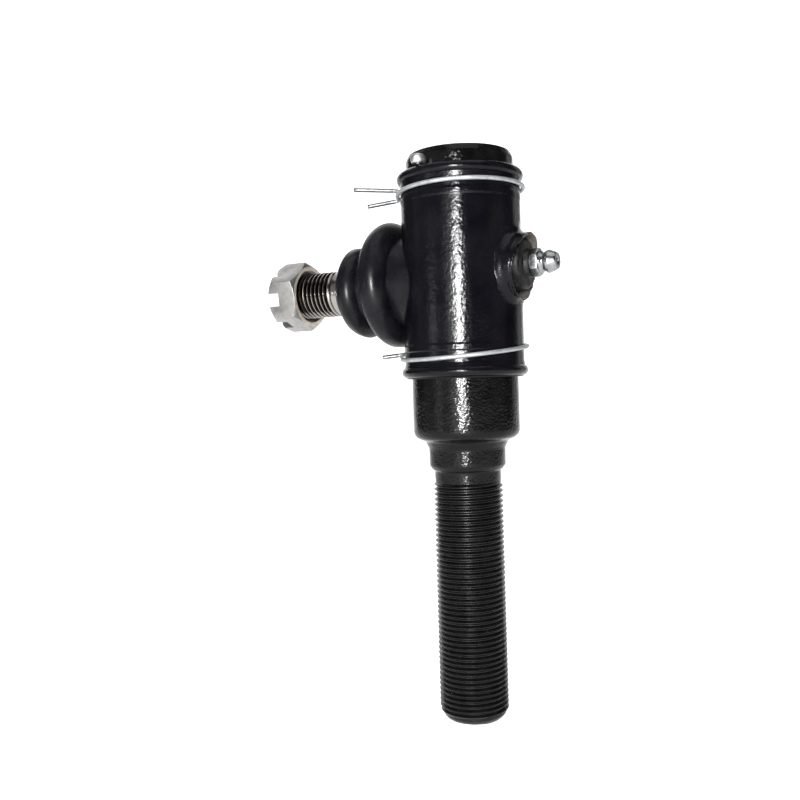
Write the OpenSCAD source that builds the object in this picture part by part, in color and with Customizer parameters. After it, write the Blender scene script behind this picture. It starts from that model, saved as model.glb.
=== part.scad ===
// Tie rod end: a tubular ball socket with a threaded shank, a tapered ball
// stud with a slotted nut, a rubber boot and sleeve, and a grease fitting.
// Origin at the ball's centre. +Z runs along the socket tube, away from the
// shank. The stud points along -X and the grease fitting along +X.

/* [Socket] */
// Outside diameter of the socket tube
tube_d = 31; // [30:0.1:31]
// Height of the tube's open end above the ball's centre
tube_top = 36.8; // [36:0.1:38]
// Depth of the tube's closed end below the ball's centre
tube_bottom = 46; // [45:0.5:48]
// Diameter of the bore that the ball seats slide in
bore_d = 25.2; // [25.2:0.1:25.4]
// Half width of the square opening that the stud swings in
stud_window = 11.3; // [11.2:0.1:11.6]

/* [Shank] */
// Major diameter of the shank's thread, M20
shank_d = 20; // [19:0.5:20.5]
// Length of the shank's thread
shank_thread_l = 66; // [50:1:80]
// Diameter of the plain neck above the thread
neck_d = 19.5; // [18:0.1:19.8]

/* [Ball stud] */
// Diameter of the ball
ball_d = 24; // [23.6:0.1:24]
// Diameter of the neck behind the ball
ball_neck_d = 13.2; // [12:0.1:13.4]
// Largest diameter of the 1:10 taper
taper_d = 17; // [16:0.5:17.5]
// Distance from the ball's centre to the start of the stud's thread
stud_thread_start = 39.2; // [39:0.1:41]
// Distance from the ball's centre to the stud's end
stud_end = 58.5; // [58:0.5:62]
// Major diameter of the stud's thread, M14
stud_thread_d = 14; // [13:0.5:14]

/* [Slotted nut] */
// Width across the nut's flats
nut_af = 19; // [18:0.5:22]
// Distance from the ball's centre to the nut's bearing face
nut_face = 53.2; // [50:0.1:55]
// Height of the nut with its crown
nut_h = 11; // [9:0.1:12]
// Width of the six slots
nut_slot_w = 4; // [3:0.1:4.5]
// Depth of the six slots
nut_slot_h = 5; // [3:0.1:6]

/* [Sleeve and rings] */
// Outside diameter of the sleeve
sleeve_d = 34.5; // [34:0.5:35]
// Top edge of the sleeve
sleeve_top = 31.8; // [31.7:0.1:32.2]
// Bottom edge of the sleeve, below the ball's centre
sleeve_bottom = 27.4; // [27.2:0.1:27.8]
// Diameter of the window around the grease fitting
window_d = 17.6; // [17.2:0.1:18]
// How far the window's axis lies below the fitting's
window_drop = 0.8; // [0.6:0.1:0.9]
// Distance from the tube's axis to the top of the window's rim
window_rim = 22; // [21.6:0.1:22.2]
// Diameter of the spring wire in the two rings
ring_wire_d = 1.2; // [1:0.1:1.2]

/* [Boot] */
// Outside diameter of the boot's large fold
big_fold_d = 37.5; // [36:0.5:38]
// Outside diameter of the boot's small fold
small_fold_d = 27.5; // [26:0.5:28]
// Wall of the boot
boot_wall = 1.4; // [1.2:0.1:1.6]

/* [Grease fitting] */
// Height of the fitting's axis above the ball's centre
port_z = 4; // [3.5:0.1:4.5]
// Width across the fitting's flats
fitting_af = 7; // [7:0.5:8]
// Diameter of the fitting's head
fitting_head_d = 6.5; // [6:0.1:6.5]
// Distance from the tube's axis to the face of the boss
boss_face = 20.3; // [20:0.1:20.6]

/* [Hidden] */

$fn = 96;
eps = 0.01;

tube_r = tube_d / 2;
bore_r = bore_d / 2;
ball_r = ball_d / 2;
sleeve_r = sleeve_d / 2;
wire_r = ring_wire_d / 2;

// Radial play of a running fit
run_gap = 0.05;
// Radial play between screwed or pressed pieces of one body
screw_gap = 0.02;

// Socket levels along Z
bore_floor = -36;
plug_seat_z = 24;
plug_top = 35.6;
plug_r = 13.4;
cotter_z = 33.3;
cotter_dir = 254.5;
cotter_r = 1.3;
cotter_eye_r = 2.05;
cotter_eye_hole_r = 0.7;
cotter_leg = 4;

// Boss round the port, and the collar on it that the grease fitting's hexagon sits on
boss_root_r = 9.5;
boss_r = 7;
boss_cone_h = 17;
boss_collar_r = 3.9;

// Shank levels along Z
collar_top = -48.2;
collar_bottom = -53.2;
collar_r = 11.1;
neck_top = -54;
thread_top = -57.5;
thread_bottom = thread_top - shank_thread_l;
shank_end = thread_bottom - 3;
shank_tip_r = 7.3;

// Seats
seat_r = bore_r - run_gap;
seat_rim = 4;
inner_seat_bottom = -20;
bumper_flange_h = 3;
bumper_top = -21.2;
bumper_r = 5.5;
notch_h = 11.2;
inner_notch_half = 10.6;
outer_notch_half = 7.4;

// End plug: width of its slot and depth below its top, and the recess inside
plug_slot_w = 3.2;
plug_slot_depth = 4.5;
plug_recess_r = 7;
plug_recess_depth = 4;

// Springs
preload_wire_r = 1.25;
preload_mean_r = 8.6;
preload_turns = 3;
check_wire_r = 0.15;
check_mean_r = 0.9;
check_turns = 6;

// Ball stud distances from the ball's centre
neck_end = 21;
taper_start = 25;
taper_end = stud_thread_start - 1;
stud_tip_chamfer = 1;
stud_cotter_at = 55.2;
stud_cotter_r = 1.6;

// How far the nut is turned from having a flat level
nut_turned = -7.5;

// Sleeve details
bead_r = 1.6;
rib_h = 0.2;
upper_bead_z = 30.1;
lower_bead_z = -25.5;
upper_rib = [22.9, 24.6];
lower_rib = [-19.6, -17.9];
collar_root_r = 11.5;
collar_rim_r = 9.45;
// The window's rim lies on a cylinder, which lowers its two sides, and the
// cylinder leans outward at the top, which lowers the rim's bottom
rim_curve_r = 42.6;
rim_lean = 9.3;
rim_curve_x = window_rim - collar_rim_r * tan(rim_lean) - rim_curve_r / cos(rim_lean);
boot_neck_r = 14;

// Wire rings. Each starts at its first tail and runs clockwise, seen from
// above, a little over one turn to its second. The drop is how far it winds
// down on the way, and the lean how far its high side stands above its low one.
ring_mean_r = sleeve_r + rib_h + wire_r + run_gap;
ring_start_dir = 200;
ring_turn = 368;
ring_tail_dir = 209;
upper_ring_z = 27.8;
upper_ring_drop = 2.3;
upper_ring_lean = [0.4, -76];
upper_tails = [[13, 3], [9.8, -9]];
lower_ring_z = -19.1;
lower_ring_drop = 1.4;
lower_ring_lean = [1.7, 73];
lower_tails = [[6, -6], [1.2, 0]];

// Boot distances along the stud, and the folds' tube radii
big_fold_at = 21.8;
big_fold_r = 4.3;
boot_split = 27.9;
groove_r = 11.3;
small_fold_at = 33;
small_fold_r = 3.4;
boot_end = 38.5;
boot_mouth_r = 8.15;

// Ring inside the boot's end
support_ring_at = 35.6;
support_ring_l = 2.2;
support_ring_r = 8.65;

// Grease fitting distances from the tube's axis
fitting_r = 3;
fitting_start = 13.2;
hex_start = 21.75;
hex_end = 24.3;
hex_chamfer = 0.4;
fitting_shoulder_r = 3.1;
fitting_neck_r = 2.65;
fitting_tip = 29;
fitting_tip_r = 2.1;
grease_bore_r = 0.8;
check_ball_r = 1.3;
check_ball_at = 26.2;
check_seat_at = 27.12;
check_hole_r = 0.95;
check_bore_r = 1.45;
check_base_at = 18.8;
check_spring_h = 6.3;

// Points along a circular arc, from angle a0 to a1
function arc(c, r, a0, a1, n = 8) =
  [for (i = [0:n]) let (a = a0 + (a1 - a0) * i / n) c + r * [cos(a), sin(a)]];

// Points of a coil around Z, as rings of an even number of sides
function coil_ring(mean_r, wire_r, h, turns, t, sides) =
  let (a = 360 * turns * t, z = wire_r + (h - 2 * wire_r) * t)
  [for (k = [0:sides - 1]) let (b = 360 * k / sides)
    [(mean_r + wire_r * cos(b)) * cos(a), (mean_r + wire_r * cos(b)) * sin(a), z + wire_r * sin(b)]];

module coil(mean_r, wire_r, h, turns, sides = 8, steps = 20) {
  rings = round(turns * steps);
  points = [for (i = [0:rings]) each coil_ring(mean_r, wire_r, h, turns, i / rings, sides)];
  first = [for (k = [0:sides - 1]) k];
  last = [for (k = [sides - 1:-1:0]) rings * sides + k];
  walls = [for (i = [0:rings - 1], k = [0:sides - 1]) let (n = (k + 1) % sides)
    each [[i * sides + k, (i + 1) * sides + k, (i + 1) * sides + n],
          [i * sides + k, (i + 1) * sides + n, i * sides + n]]];
  polyhedron(points = points, faces = concat([first, last], walls), convexity = 8);
}

// Round wire along a path that never runs straight up, with flat ends
module wire(path, wire_r, sides = 10) {
  last = len(path) - 1;
  points = [for (i = [0:last])
    let (d = path[min(i + 1, last)] - path[max(i - 1, 0)],
         side = cross(d, [0, 0, 1]) / norm(cross(d, [0, 0, 1])),
         up = cross(side, d) / norm(cross(side, d)))
    for (k = [0:sides - 1]) path[i] + wire_r * (cos(360 * k / sides) * side + sin(360 * k / sides) * up)];
  start_cap = [for (k = [0:sides - 1]) k];
  end_cap = [for (k = [sides - 1:-1:0]) last * sides + k];
  walls = [for (i = [0:last - 1], k = [0:sides - 1]) let (n = (k + 1) % sides)
    each [[i * sides + k, (i + 1) * sides + k, (i + 1) * sides + n],
          [i * sides + k, (i + 1) * sides + n, i * sides + n]]];
  polyhedron(points = points, faces = concat([start_cap, end_cap], walls), convexity = 8);
}

// Turns a shape drawn along +Z so that it lies along -X
module along_stud() {
  rotate([0, -90, 0]) children();
}

// Turns a shape drawn along +Z so that it lies along the grease fitting
module along_port() {
  translate([0, 0, port_z]) rotate([0, 90, 0]) children();
}

module along_window() {
  translate([0, 0, -window_drop]) along_port() children();
}

module rounded_square(half, corner_r) {
  square([2 * half, 2 * (half - corner_r)], center = true);
  square([2 * (half - corner_r), 2 * half], center = true);
  for (x = [-1, 1], y = [-1, 1])
    translate((half - corner_r) * [x, y]) circle(r = corner_r);
}

// Outline of the socket tube, collar, neck and shank, as radius and height
module socket_profile() {
  polygon(concat(
    [[0, shank_end], [shank_tip_r, shank_end], [shank_d / 2, thread_bottom]],
    [[shank_d / 2, thread_top], [neck_d / 2, thread_top + 0.2], [neck_d / 2, neck_top]],
    [[collar_r - 0.8, collar_bottom], [collar_r, collar_bottom + 1]],
    arc([collar_r + 2.4, collar_top + 1.4], 2.4, 180, 100, 5),
    arc([tube_r - 3, -tube_bottom + 4.4], 3, -75, 0, 6),
    [[tube_r, tube_top - 1.9], [tube_r - 0.15, tube_top - 0.7]],
    [[tube_r - 0.75, tube_top], [0, tube_top]]
  ));
}

module socket_rod() {
  color([0.06, 0.06, 0.065])
  difference() {
    union() {
      rotate_extrude() socket_profile();
      along_port() cylinder(r1 = boss_root_r, r2 = boss_r, h = boss_cone_h);
      along_port() cylinder(r = boss_r, h = boss_face);
      along_port() cylinder(r = boss_collar_r, h = hex_start - eps);
    }
    translate([0, 0, bore_floor]) cylinder(r = bore_r, h = 80);
    translate([0, 0, plug_seat_z]) cylinder(r = plug_r + screw_gap, h = 20);
    along_stud() translate([0, 0, 5]) linear_extrude(height = 15) rounded_square(stud_window, 5);
    along_port() translate([0, 0, 10]) cylinder(r = fitting_r + screw_gap, h = 20);
    translate([0, 0, cotter_z]) rotate([0, 90, cotter_dir])
      cylinder(r = cotter_r + screw_gap, h = 40, center = true);
  }
}

// Screw plug that closes the bore, slotted for a driver and the cotter pin
module end_plug() {
  color([0.5, 0.5, 0.52])
  difference() {
    translate([0, 0, plug_seat_z + 0.1]) cylinder(r = plug_r, h = plug_top - plug_seat_z - 0.1);
    translate([0, 0, plug_top]) rotate([0, 0, cotter_dir])
      cube([3 * plug_r, plug_slot_w, 2 * plug_slot_depth], center = true);
    translate([0, 0, plug_seat_z - eps]) cylinder(r = plug_recess_r, h = plug_recess_depth);
  }
}

// Cotter pin across the tube and the plug's slot, with its eye outside
module plug_cotter_pin() {
  color([0.7, 0.7, 0.7])
  translate([0, 0, cotter_z]) rotate([0, 90, cotter_dir]) {
    difference() {
      translate([0, 0, -tube_r - cotter_leg]) cylinder(r = cotter_r, h = 2 * tube_r + cotter_leg + 0.5);
      translate([0, 0, -tube_r - cotter_leg]) cube([10, 0.2, 2 * cotter_leg], center = true);
    }
    translate([0, 0, tube_r + cotter_eye_r + 0.15]) rotate([0, 90, 0]) difference() {
      cylinder(r = cotter_eye_r, h = 2 * cotter_r, center = true);
      cylinder(r = cotter_eye_hole_r, h = 6, center = true);
    }
  }
}

// Stop inside the preload spring that limits how far the inner seat gives
module spring_bumper() {
  color([0.35, 0.35, 0.37])
  translate([0, 0, bore_floor]) {
    cylinder(r = bore_r - screw_gap, h = bumper_flange_h);
    cylinder(r = bumper_r, h = bumper_top - bore_floor);
  }
}

module preload_spring() {
  color([0.6, 0.6, 0.62])
  translate([0, 0, bore_floor + bumper_flange_h])
    coil(preload_mean_r, preload_wire_r, inner_seat_bottom - bore_floor - bumper_flange_h, preload_turns);
}

// Cup under the ball, notched for the stud to swing both ways
module inner_ball_seat() {
  color([0.45, 0.44, 0.42])
  difference() {
    translate([0, 0, inner_seat_bottom]) cylinder(r = seat_r, h = -seat_rim - inner_seat_bottom);
    sphere(r = ball_r + run_gap);
    translate([-20, -inner_notch_half, -notch_h]) cube([14, 2 * inner_notch_half, 2 * notch_h]);
  }
}

// Cup over the ball, which turns with the stud and is notched for its swing
module outer_ball_seat() {
  color([0.45, 0.44, 0.42])
  difference() {
    translate([0, 0, seat_rim]) cylinder(r = seat_r, h = plug_seat_z - seat_rim);
    sphere(r = ball_r + run_gap);
    translate([-20, -outer_notch_half, -notch_h]) cube([14, 2 * outer_notch_half, 2 * notch_h]);
  }
}

module ball_stud() {
  thread_r = stud_thread_d / 2;
  taper_end_r = taper_d / 2 - (taper_end - taper_start) / 20;
  color([0.72, 0.72, 0.72])
  difference() {
    union() {
      sphere(r = ball_r);
      along_stud() rotate_extrude() polygon(concat(
        [[0, 0], [ball_neck_d / 2, 0]],
        arc([ball_neck_d / 2 + 4, neck_end], 4, 180, 130, 5),
        [[taper_d / 2, taper_start], [taper_end_r, taper_end]],
        [[thread_r, taper_end + 0.6], [thread_r, stud_end - stud_tip_chamfer]],
        [[thread_r - stud_tip_chamfer, stud_end], [0, stud_end]]
      ));
    }
    translate([-stud_cotter_at, 0, 0]) rotate([90, 0, 0]) cylinder(r = stud_cotter_r, h = 20, center = true);
  }
}

// Hexagon nut with six slots across the middles of its flats
module castle_nut() {
  corner_r = nut_af / 2 / cos(30);
  color([0.75, 0.74, 0.7])
  along_stud() translate([0, 0, nut_face]) rotate([0, 0, nut_turned]) difference() {
    intersection() {
      cylinder(r = corner_r, h = nut_h, $fn = 6);
      rotate_extrude() polygon([
        [0, 0], [nut_af / 2 - 0.1, 0], [corner_r + 0.2, 1.3],
        [corner_r + 0.1, nut_h - 2], [nut_af / 2 - 0.9, nut_h], [0, nut_h]
      ]);
    }
    translate([0, 0, -1]) cylinder(r = stud_thread_d / 2 + run_gap, h = nut_h + 2);
    for (a = [30:60:330])
      rotate([0, 0, a]) translate([0, -nut_slot_w / 2, nut_h - nut_slot_h]) cube([20, nut_slot_w, 10]);
  }
}

// Rubber sleeve round the tube, with a bead at each end and a flared window
module dust_sleeve() {
  color([0.09, 0.09, 0.1])
  difference() {
    union() {
      translate([0, 0, -sleeve_bottom]) cylinder(r = sleeve_r, h = sleeve_top + sleeve_bottom);
      for (z = [upper_bead_z, lower_bead_z])
        translate([0, 0, z]) rotate_extrude() translate([sleeve_r - 0.6, 0]) circle(r = bead_r);
      for (rib = [upper_rib, lower_rib])
        translate([0, 0, rib[0]]) cylinder(r = sleeve_r + rib_h, h = rib[1] - rib[0]);
      intersection() {
        along_window() translate([0, 0, 9])
          cylinder(r1 = collar_root_r, r2 = collar_rim_r, h = window_rim - 9);
        translate([rim_curve_x, 0, port_z - window_drop]) rotate([0, rim_lean, 0])
          cylinder(r = rim_curve_r, h = 60, center = true);
      }
    }
    translate([0, 0, -60]) cylinder(r = tube_r + run_gap, h = 120);
    translate([0, 0, -60]) cylinder(r = 40, h = 60 - sleeve_bottom);
    along_window() cylinder(r = window_d / 2, h = 40);
    along_stud() cylinder(r = boot_neck_r + run_gap, h = 40);
  }
}

// Spring wire ring: a turn round the sleeve, with its two ends bent out
module wire_ring(z, drop, lean, tails) {
  steps = 60;
  turn = [for (i = [0:steps]) let (a = ring_start_dir - ring_turn * i / steps)
    [ring_mean_r * cos(a), ring_mean_r * sin(a), z - drop * i / steps + lean[0] * cos(a - lean[1])]];
  tips = [for (i = [0, 1]) let (root = turn[i * steps], l = tails[i][0], slope = tails[i][1])
    root + l * [cos(slope) * cos(ring_tail_dir), cos(slope) * sin(ring_tail_dir), sin(slope)]];
  wire(concat([tips[0]], turn, [tips[1]]), wire_r);
}

module upper_wire_ring() {
  color([0.8, 0.8, 0.8]) wire_ring(upper_ring_z, upper_ring_drop, upper_ring_lean, upper_tails);
}

module lower_wire_ring() {
  color([0.8, 0.8, 0.8]) wire_ring(lower_ring_z, lower_ring_drop, lower_ring_lean, lower_tails);
}

// Large fold of the boot: neck in the sleeve's side, and the fold itself
module stud_boot() {
  fold = [big_fold_d / 2 - big_fold_r, big_fold_at];
  crease = big_fold_at - big_fold_r;
  neck_wall_r = boot_neck_r - boot_wall;
  color([0.11, 0.11, 0.12])
  difference() {
    along_stud() rotate_extrude() polygon(concat(
      [[boot_neck_r, 5], [boot_neck_r, crease]],
      arc(fold, big_fold_r, -90, 100, 16),
      [[groove_r, boot_split - 0.05], [groove_r - boot_wall, boot_split - 0.05]],
      arc(fold, big_fold_r - boot_wall, 100, -90, 16),
      [[neck_wall_r, crease + boot_wall], [neck_wall_r, 5]]
    ));
    cylinder(r = tube_r + run_gap, h = 100, center = true);
  }
}

// Small fold of the boot, domed down to the mouth that grips the stud
module boot_cuff() {
  fold = [small_fold_d / 2 - small_fold_r, small_fold_at];
  pocket_r = support_ring_r + run_gap;
  pocket_end = support_ring_at + support_ring_l + run_gap;
  color([0.11, 0.11, 0.12])
  along_stud() rotate_extrude() polygon(concat(
    [[groove_r, boot_split]],
    arc(fold, small_fold_r, -60, 60, 12),
    [[9.9, boot_end - 0.9], [9, boot_end], [boot_mouth_r, boot_end], [boot_mouth_r, pocket_end]],
    [[pocket_r, pocket_end], [pocket_r, support_ring_at - run_gap]],
    arc(fold, small_fold_r - boot_wall, 70, -60, 12),
    [[groove_r - boot_wall, boot_split]]
  ));
}

// Ring inside the boot's end that keeps it round on the stud
module boot_support_ring() {
  color([0.5, 0.5, 0.5])
  along_stud() translate([0, 0, support_ring_at]) difference() {
    cylinder(r = support_ring_r, h = support_ring_l);
    translate([0, 0, -1]) cylinder(r = boot_mouth_r - 0.1, h = support_ring_l + 2);
  }
}

module grease_fitting() {
  head_r = fitting_head_d / 2;
  corner_r = fitting_af / 2 / cos(30);
  color([0.8, 0.8, 0.8])
  along_port() difference() {
    union() {
      translate([0, 0, fitting_start]) cylinder(r = fitting_r, h = hex_start - fitting_start + eps);
      intersection() {
        translate([0, 0, hex_start]) cylinder(r = corner_r, h = hex_end - hex_start, $fn = 6);
        rotate_extrude() polygon([
          [0, hex_start], [fitting_af / 2, hex_start], [corner_r, hex_start + hex_chamfer],
          [corner_r, hex_end - hex_chamfer], [fitting_af / 2, hex_end], [0, hex_end]
        ]);
      }
      rotate_extrude() polygon([
        [0, hex_end - 1], [fitting_shoulder_r, hex_end - 1], [fitting_shoulder_r, hex_end],
        [fitting_neck_r, hex_end + 0.9], [fitting_neck_r, hex_end + 1.15], [head_r, hex_end + 1.9],
        [head_r, hex_end + 2.6], [fitting_tip_r, fitting_tip], [0, fitting_tip]
      ]);
    }
    translate([0, 0, check_base_at]) cylinder(r = check_bore_r, h = check_seat_at - check_base_at);
    translate([0, 0, 10]) cylinder(r = grease_bore_r, h = 12);
    translate([0, 0, check_base_at]) cylinder(r = check_hole_r, h = 20);
  }
}

module check_ball() {
  color([0.85, 0.85, 0.85])
  along_port() translate([0, 0, check_ball_at]) sphere(r = check_ball_r);
}

module check_spring() {
  color([0.6, 0.6, 0.6])
  along_port() translate([0, 0, check_base_at + eps])
    coil(check_mean_r, check_wire_r, check_spring_h, check_turns, 6, 14);
}

socket_rod();
end_plug();
plug_cotter_pin();
spring_bumper();
preload_spring();
inner_ball_seat();
outer_ball_seat();
ball_stud();
castle_nut();
dust_sleeve();
upper_wire_ring();
lower_wire_ring();
stud_boot();
boot_cuff();
boot_support_ring();
grease_fitting();
check_ball();
check_spring();
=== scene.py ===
import math

import bmesh
import bpy
import numpy as np
from mathutils import Matrix, Vector, noise


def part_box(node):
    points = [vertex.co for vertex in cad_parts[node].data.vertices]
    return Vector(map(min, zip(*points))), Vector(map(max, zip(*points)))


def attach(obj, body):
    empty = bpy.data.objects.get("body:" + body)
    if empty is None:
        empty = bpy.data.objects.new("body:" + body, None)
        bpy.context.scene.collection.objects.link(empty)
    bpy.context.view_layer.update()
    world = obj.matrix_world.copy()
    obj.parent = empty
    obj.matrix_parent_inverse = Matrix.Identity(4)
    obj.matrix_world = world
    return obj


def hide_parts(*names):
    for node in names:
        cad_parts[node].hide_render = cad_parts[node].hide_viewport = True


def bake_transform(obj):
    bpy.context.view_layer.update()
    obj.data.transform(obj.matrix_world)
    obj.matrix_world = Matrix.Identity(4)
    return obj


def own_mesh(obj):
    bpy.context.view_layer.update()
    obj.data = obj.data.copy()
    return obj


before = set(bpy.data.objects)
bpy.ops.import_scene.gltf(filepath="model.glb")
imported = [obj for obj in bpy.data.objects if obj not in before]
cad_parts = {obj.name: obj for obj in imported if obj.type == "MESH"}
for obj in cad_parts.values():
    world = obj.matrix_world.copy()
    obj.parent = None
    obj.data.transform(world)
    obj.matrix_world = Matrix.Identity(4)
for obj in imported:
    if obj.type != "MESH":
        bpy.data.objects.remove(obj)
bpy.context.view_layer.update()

# Meshes are scaled to metres as they are made.
MM = 0.001


# ---------------------------------------------------------------- frame sizes


def reach(node, axis, side):
    """A CAD node's reach in mm along axis 0, 1 or 2: side 0 is its low end, 1 its high end."""
    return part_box(node)[side][axis] / MM


TUBE_R = reach("socket_rod", 1, 1)
TUBE_TOP = reach("socket_rod", 2, 1)
SHANK_END = reach("socket_rod", 2, 0)
SLEEVE_TOP = reach("dust_sleeve", 2, 1)
SLEEVE_BOTTOM = reach("dust_sleeve", 2, 0)
WINDOW_RIM = reach("dust_sleeve", 0, 1)
BALL_R = reach("ball_stud", 2, 1)
STUD_END = -reach("ball_stud", 0, 0)
NUT_FACE = -reach("castle_nut", 0, 1)
NUT_TOP = -reach("castle_nut", 0, 0)
FITTING_TIP = reach("grease_fitting", 0, 1)
FITTING_AF = 2 * reach("grease_fitting", 1, 1)
PORT_Z = (reach("grease_fitting", 2, 0) + reach("grease_fitting", 2, 1)) / 2
BIG_FOLD_R = reach("stud_boot", 1, 1)
BOOT_SPLIT = -reach("stud_boot", 0, 0)
SMALL_FOLD_R = reach("boot_cuff", 1, 1)
BOOT_END = -reach("boot_cuff", 0, 0)

# Sizes that no box of the frame gives, and the degrees by which the nut is turned round the stud.
WINDOW_Z = PORT_Z - 0.8
NUT_AF = 19.0
NUT_TURNED = -7.5
SLEEVE_R = 17.25
THREAD_TOP = -57.5
SHANK_R = 10.0
PITCH = 1.5

# A shape made along +Z is turned to lie along the stud, the grease fitting or the window's axis.
ALONG_STUD = Matrix.Rotation(math.radians(-90), 4, "Y")
ALONG_PORT = Matrix.Translation((0, 0, PORT_Z)) @ Matrix.Rotation(math.radians(90), 4, "Y")
ALONG_WINDOW = Matrix.Translation((0, 0, WINDOW_Z)) @ Matrix.Rotation(math.radians(90), 4, "Y")


# ---------------------------------------------------------------- mesh making


def rounded(corners, steps=6):
    """A closed outline through corners (x, y, fillet radius), with each fillet as an arc."""
    outline = []
    for i, (x, y, radius) in enumerate(corners):
        here = np.array((x, y), float)
        back = np.array(corners[i - 1][:2], float) - here
        ahead = np.array(corners[(i + 1) % len(corners)][:2], float) - here
        reach_back, reach_ahead = np.linalg.norm(back), np.linalg.norm(ahead)
        back, ahead = back / reach_back, ahead / reach_ahead
        half = math.acos(float(np.clip(back @ ahead, -1, 1))) / 2
        if radius <= 0 or half > math.radians(89):
            outline.append(here)
            continue
        run = min(radius / math.tan(half), 0.499 * min(reach_back, reach_ahead))
        radius = run * math.tan(half)
        middle = back + ahead
        centre = here + middle / np.linalg.norm(middle) * radius / math.sin(half)
        start, end = here + back * run - centre, here + ahead * run - centre
        first = math.atan2(start[1], start[0])
        turn = (math.atan2(end[1], end[0]) - first + math.pi) % (2 * math.pi) - math.pi
        for k in range(steps + 1):
            angle = first + turn * k / steps
            outline.append(centre + radius * np.array((math.cos(angle), math.sin(angle))))
    return outline


def arc(x, y, radius, start, end, steps):
    """Points round a circle about (x, y), from one angle to another in degrees."""
    return [
        (x + radius * math.cos(math.radians(start + (end - start) * k / steps)),
         y + radius * math.sin(math.radians(start + (end - start) * k / steps)))
        for k in range(steps + 1)
    ]


def refined(outline, step):
    """The closed outline with points added so that none lie further apart than step."""
    points = []
    for i, corner in enumerate(outline):
        a, b = np.array(corner, float), np.array(outline[(i + 1) % len(outline)], float)
        parts = max(1, math.ceil(np.linalg.norm(b - a) / step))
        points += [a + (b - a) * k / parts for k in range(parts)]
    return points


def add_object(name, data):
    """A new object in the scene that shows the data."""
    thing = bpy.data.objects.new(name, data)
    bpy.context.scene.collection.objects.link(thing)
    return thing


def turn_mesh(mesh, turn):
    """Moves a mesh by a matrix whose translation is in mm."""
    matrix = turn.copy()
    matrix.translation = turn.translation * MM
    mesh.transform(matrix)


def make(name, verts, faces, turn=None, sharp=40):
    """An object from points in mm and faces, turned into place, merged and smooth shaded."""
    mesh = bpy.data.meshes.new(name)
    mesh.from_pydata([tuple(v) for v in np.asarray(verts, float) * MM], [], faces)
    tidy(mesh)
    if turn is not None:
        turn_mesh(mesh, turn)
    shade(mesh, sharp)
    return add_object(name, mesh)


def tidy(mesh):
    """Merges points that coincide, drops faces with no area and turns the faces outward."""
    work = bmesh.new()
    work.from_mesh(mesh)
    bmesh.ops.remove_doubles(work, verts=work.verts, dist=1e-6)
    bmesh.ops.dissolve_degenerate(work, edges=work.edges, dist=1e-7)
    bmesh.ops.recalc_face_normals(work, faces=work.faces)
    work.to_mesh(mesh)
    work.free()


def shade(mesh, sharp):
    """Shades the mesh smooth, except over edges sharper than this many degrees."""
    mesh.shade_smooth()
    mesh.set_sharp_from_angle(angle=math.radians(sharp))


def grid_faces(rows, columns, wrap_rows=False):
    """Quads over a grid whose columns wrap round, and whose rows may."""
    faces = []
    for i in range(rows if wrap_rows else rows - 1):
        a, b = i * columns, (i + 1) % rows * columns
        faces += [(a + j, a + (j + 1) % columns, b + (j + 1) % columns, b + j) for j in range(columns)]
    return faces


def capped_faces(rows, columns):
    """Quads over a grid whose columns wrap round, with one face over each end."""
    last = (rows - 1) * columns
    return grid_faces(rows, columns) + [tuple(range(columns)), tuple(range(last, last + columns))]


def lathe(name, outline, turn=None, segments=128, sharp=40):
    """A solid of revolution round Z from a closed outline of (radius, height) points."""
    angles = np.linspace(0, 2 * math.pi, segments, endpoint=False)
    outline = np.array(outline)
    verts = np.stack(
        [
            outline[:, 0, None] * np.cos(angles),
            outline[:, 0, None] * np.sin(angles),
            np.repeat(outline[:, 1, None], segments, axis=1),
        ],
        axis=-1,
    ).reshape(-1, 3)
    return make(name, verts, grid_faces(len(outline), segments, wrap_rows=True), turn, sharp)


def helix_thread(name, envelope, pitch, depth, low, high, turn=None, segments=96, grow=None):
    """A rod with a 60 degree thread cut in it. envelope(z) is the outer radius at height z.

    With grow, the thread is cut deeper from the first of its two heights to the second.
    """
    crest, flank, root = 0.14, 0.36, 0.14
    marks = [0, crest, crest + flank, crest + flank + root]
    cuts = [0, 0, 1, 1]

    def cut(share):
        return np.interp(share % 1.0, marks + [1.0], cuts + [0])

    angles = np.arange(segments) / segments
    turns = math.ceil((high - low) / pitch) + 1
    lines = np.array([k + m for k in range(-1, turns) for m in marks])
    s = lines[:, None] * np.ones(segments)
    s = np.clip(s, -angles, (high - low) / pitch - angles)
    z = low + pitch * (s + angles)
    share = 1 if grow is None else np.clip((z - grow[0]) / (grow[1] - grow[0]), 0, 1) ** 1.5
    r = np.minimum(envelope(z), envelope((low + high) / 2) - depth * share * cut(s))
    verts = np.stack([r * np.cos(2 * math.pi * angles), r * np.sin(2 * math.pi * angles), z], axis=-1)
    count = len(lines)
    index = np.arange(count * segments).reshape(count, segments)
    faces = []
    per_turn = len(marks)
    for i in range(count - 1):
        for j in range(segments):
            if j + 1 < segments:
                faces.append((index[i, j], index[i, j + 1], index[i + 1, j + 1], index[i + 1, j]))
            elif i + 1 + per_turn < count:
                faces.append(
                    (index[i, j], index[i + per_turn, 0], index[i + 1 + per_turn, 0], index[i + 1, j])
                )
    points = verts.reshape(-1, 3).tolist()
    faces = [tuple(int(k) for k in f) for f in faces]
    piece = make(name, points, faces, sharp=30)
    cap_ends(piece.data)
    if turn is not None:
        turn_mesh(piece.data, turn)
    shade(piece.data, 30)
    return piece


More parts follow.
